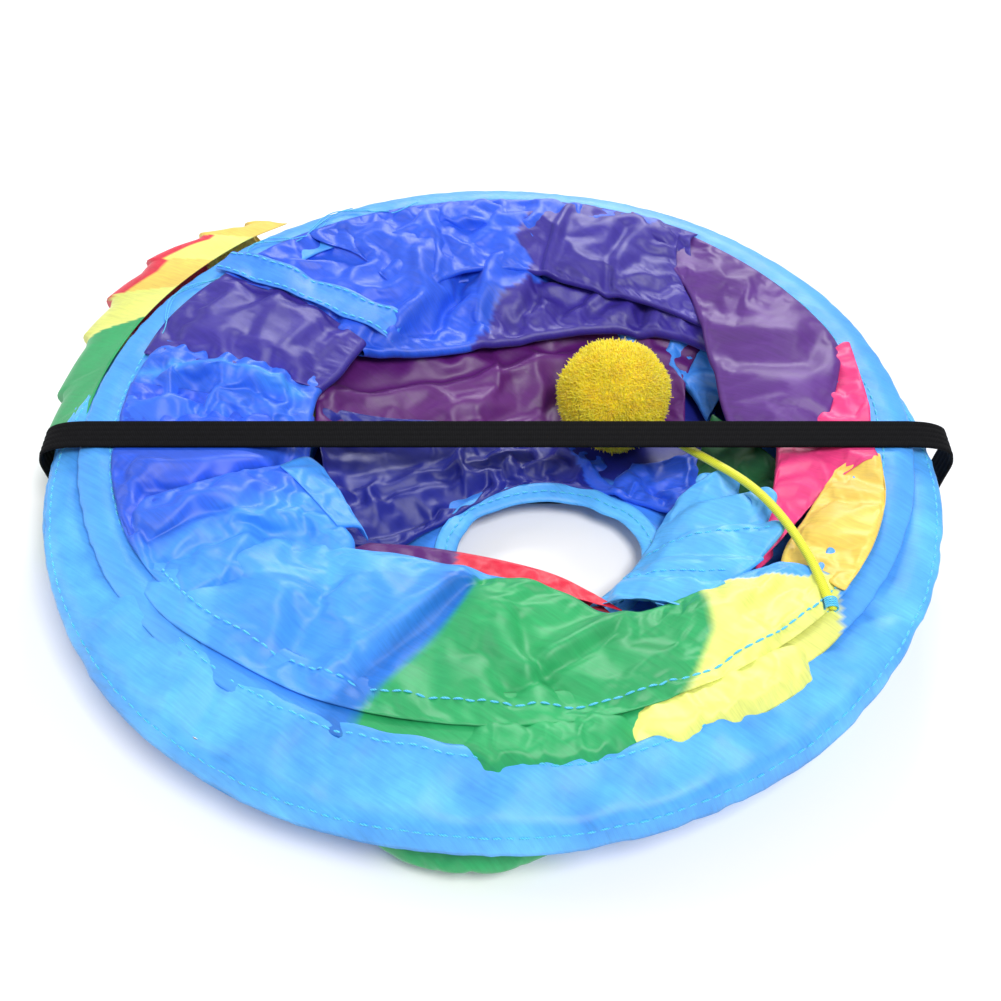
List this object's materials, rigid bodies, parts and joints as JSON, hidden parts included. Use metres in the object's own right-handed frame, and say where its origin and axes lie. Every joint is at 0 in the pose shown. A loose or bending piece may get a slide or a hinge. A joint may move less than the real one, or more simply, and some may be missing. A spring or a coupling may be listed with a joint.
{
  "type": "agility tunnel",
  "caption": "Collapsible fabric pet tunnel of spring wire hoops, folded flat and held by an elastic band, with a peep hole and a pompom toy on a cord.",
  "frame": {"origin": "bottom centre of the folded stack, on the surface it lies on", "axes": "+Z along the tunnel's axis, from the bottom hoop to the top hoop; +X along the elastic band"},
  "size_m": [0.2667, 0.2474, 0.0389],
  "materials": {
    "hem_binding": "satin polyester",
    "spring_wire": "bright drawn wire",
    "ferrule": "crimped",
    "panel_cloth_1": "printed satin polyester",
    "seam_tape": "satin polyester",
    "peep_binding": "satin polyester",
    "panel_cloth_2": "printed satin polyester",
    "panel_cloth_3": "printed satin polyester",
    "panel_cloth_4": "printed satin polyester",
    "panel_cloth_5": "printed satin polyester",
    "panel_cloth_6": "printed satin polyester",
    "panel_cloth_7": "printed satin polyester",
    "panel_cloth_8": "printed satin polyester",
    "elastic_band": "ribbed woven elastic",
    "pompom_plush": "dense plush pile",
    "pompom_cord": "woven elastic cord"
  },
  "bodies": {
    "hoop_1": {"hem_sleeve_1": "hem_binding", "spring_wire_1": "spring_wire", "wire_ferrule_1": "ferrule", "fabric_panel_1": "panel_cloth_1", "seam_tape_1": "seam_tape", "peep_hole_binding": "peep_binding", "peep_hole_facing": "peep_binding"},
    "hoop_2": {"hem_sleeve_2": "hem_binding", "spring_wire_2": "spring_wire", "wire_ferrule_2": "ferrule", "fabric_panel_2": "panel_cloth_2", "seam_tape_2": "seam_tape"},
    "hoop_3": {"hem_sleeve_3": "hem_binding", "spring_wire_3": "spring_wire", "wire_ferrule_3": "ferrule", "fabric_panel_3": "panel_cloth_3", "seam_tape_3": "seam_tape"},
    "hoop_4": {"hem_sleeve_4": "hem_binding", "spring_wire_4": "spring_wire", "wire_ferrule_4": "ferrule", "fabric_panel_4": "panel_cloth_4", "seam_tape_4": "seam_tape"},
    "hoop_5": {"hem_sleeve_5": "hem_binding", "spring_wire_5": "spring_wire", "wire_ferrule_5": "ferrule", "fabric_panel_5": "panel_cloth_5", "seam_tape_5": "seam_tape"},
    "hoop_6": {"hem_sleeve_6": "hem_binding", "spring_wire_6": "spring_wire", "wire_ferrule_6": "ferrule", "fabric_panel_6": "panel_cloth_6", "seam_tape_6": "seam_tape"},
    "hoop_7": {"hem_sleeve_7": "hem_binding", "spring_wire_7": "spring_wire", "wire_ferrule_7": "ferrule", "fabric_panel_7": "panel_cloth_7", "seam_tape_7": "seam_tape"},
    "hoop_8": {"hem_sleeve_8": "hem_binding", "spring_wire_8": "spring_wire", "wire_ferrule_8": "ferrule", "fabric_panel_8": "panel_cloth_8", "seam_tape_8": "seam_tape"},
    "hoop_9": {"hem_sleeve_9": "hem_binding", "spring_wire_9": "spring_wire", "wire_ferrule_9": "ferrule"},
    "retaining_band": {"elastic_band": "elastic_band", "band_sewn_overlap": "elastic_band"},
    "pompom_toy": {"pompom_ball": "pompom_plush", "pompom_core_knot": "pompom_cord", "pompom_cord": "pompom_cord", "cord_sewn_tack": "pompom_cord"}
  },
  "joints": [
    {"name": "extend_1", "type": "slide", "parent": "hoop_1", "child": "hoop_2", "axis": [0, 0, 1], "range_m": [0, 0.135], "deforming": ["fabric_panel_1", "seam_tape_1", "elastic_band", "band_sewn_overlap"]},
    {"name": "extend_2", "type": "slide", "parent": "hoop_2", "child": "hoop_3", "axis": [0, 0, 1], "range_m": [0, 0.135], "deforming": ["fabric_panel_2", "seam_tape_2"]},
    {"name": "extend_3", "type": "slide", "parent": "hoop_3", "child": "hoop_4", "axis": [0, 0, 1], "range_m": [0, 0.135], "deforming": ["fabric_panel_3", "seam_tape_3"]},
    {"name": "extend_4", "type": "slide", "parent": "hoop_4", "child": "hoop_5", "axis": [0, 0, 1], "range_m": [0, 0.135], "deforming": ["fabric_panel_4", "seam_tape_4"]},
    {"name": "extend_5", "type": "slide", "parent": "hoop_5", "child": "hoop_6", "axis": [0, 0, 1], "range_m": [0, 0.135], "deforming": ["fabric_panel_5", "seam_tape_5"]},
    {"name": "extend_6", "type": "slide", "parent": "hoop_6", "child": "hoop_7", "axis": [0, 0, 1], "range_m": [0, 0.135], "deforming": ["fabric_panel_6", "seam_tape_6"]},
    {"name": "extend_7", "type": "slide", "parent": "hoop_7", "child": "hoop_8", "axis": [0, 0, 1], "range_m": [0, 0.135], "deforming": ["fabric_panel_7", "seam_tape_7"]},
    {"name": "extend_8", "type": "slide", "parent": "hoop_8", "child": "hoop_9", "axis": [0, 0, 1], "range_m": [0, 0.135], "deforming": ["fabric_panel_8", "seam_tape_8"]},
    {"name": "band_off", "type": "slide", "parent": "hoop_1", "child": "retaining_band", "axis": [0, 1, 0], "range_m": [0, 0.17]},
    {"name": "pompom_swing", "type": "hinge", "parent": "hoop_9", "child": "pompom_toy", "pos_m": [0.086, -0.0622, 0.0307], "axis": [1, 0, 0], "range_deg": [0, 75]}
  ],
  "couplings": [
    {"joint": "extend_2", "follows": "extend_1", "ratio": 1},
    {"joint": "extend_3", "follows": "extend_1", "ratio": 1},
    {"joint": "extend_4", "follows": "extend_1", "ratio": 1},
    {"joint": "extend_5", "follows": "extend_1", "ratio": 1},
    {"joint": "extend_6", "follows": "extend_1", "ratio": 1},
    {"joint": "extend_7", "follows": "extend_1", "ratio": 1},
    {"joint": "extend_8", "follows": "extend_1", "ratio": 1},
    {"joint": "band_off", "follows": "extend_1", "ratio": 1.2444}
  ]
}
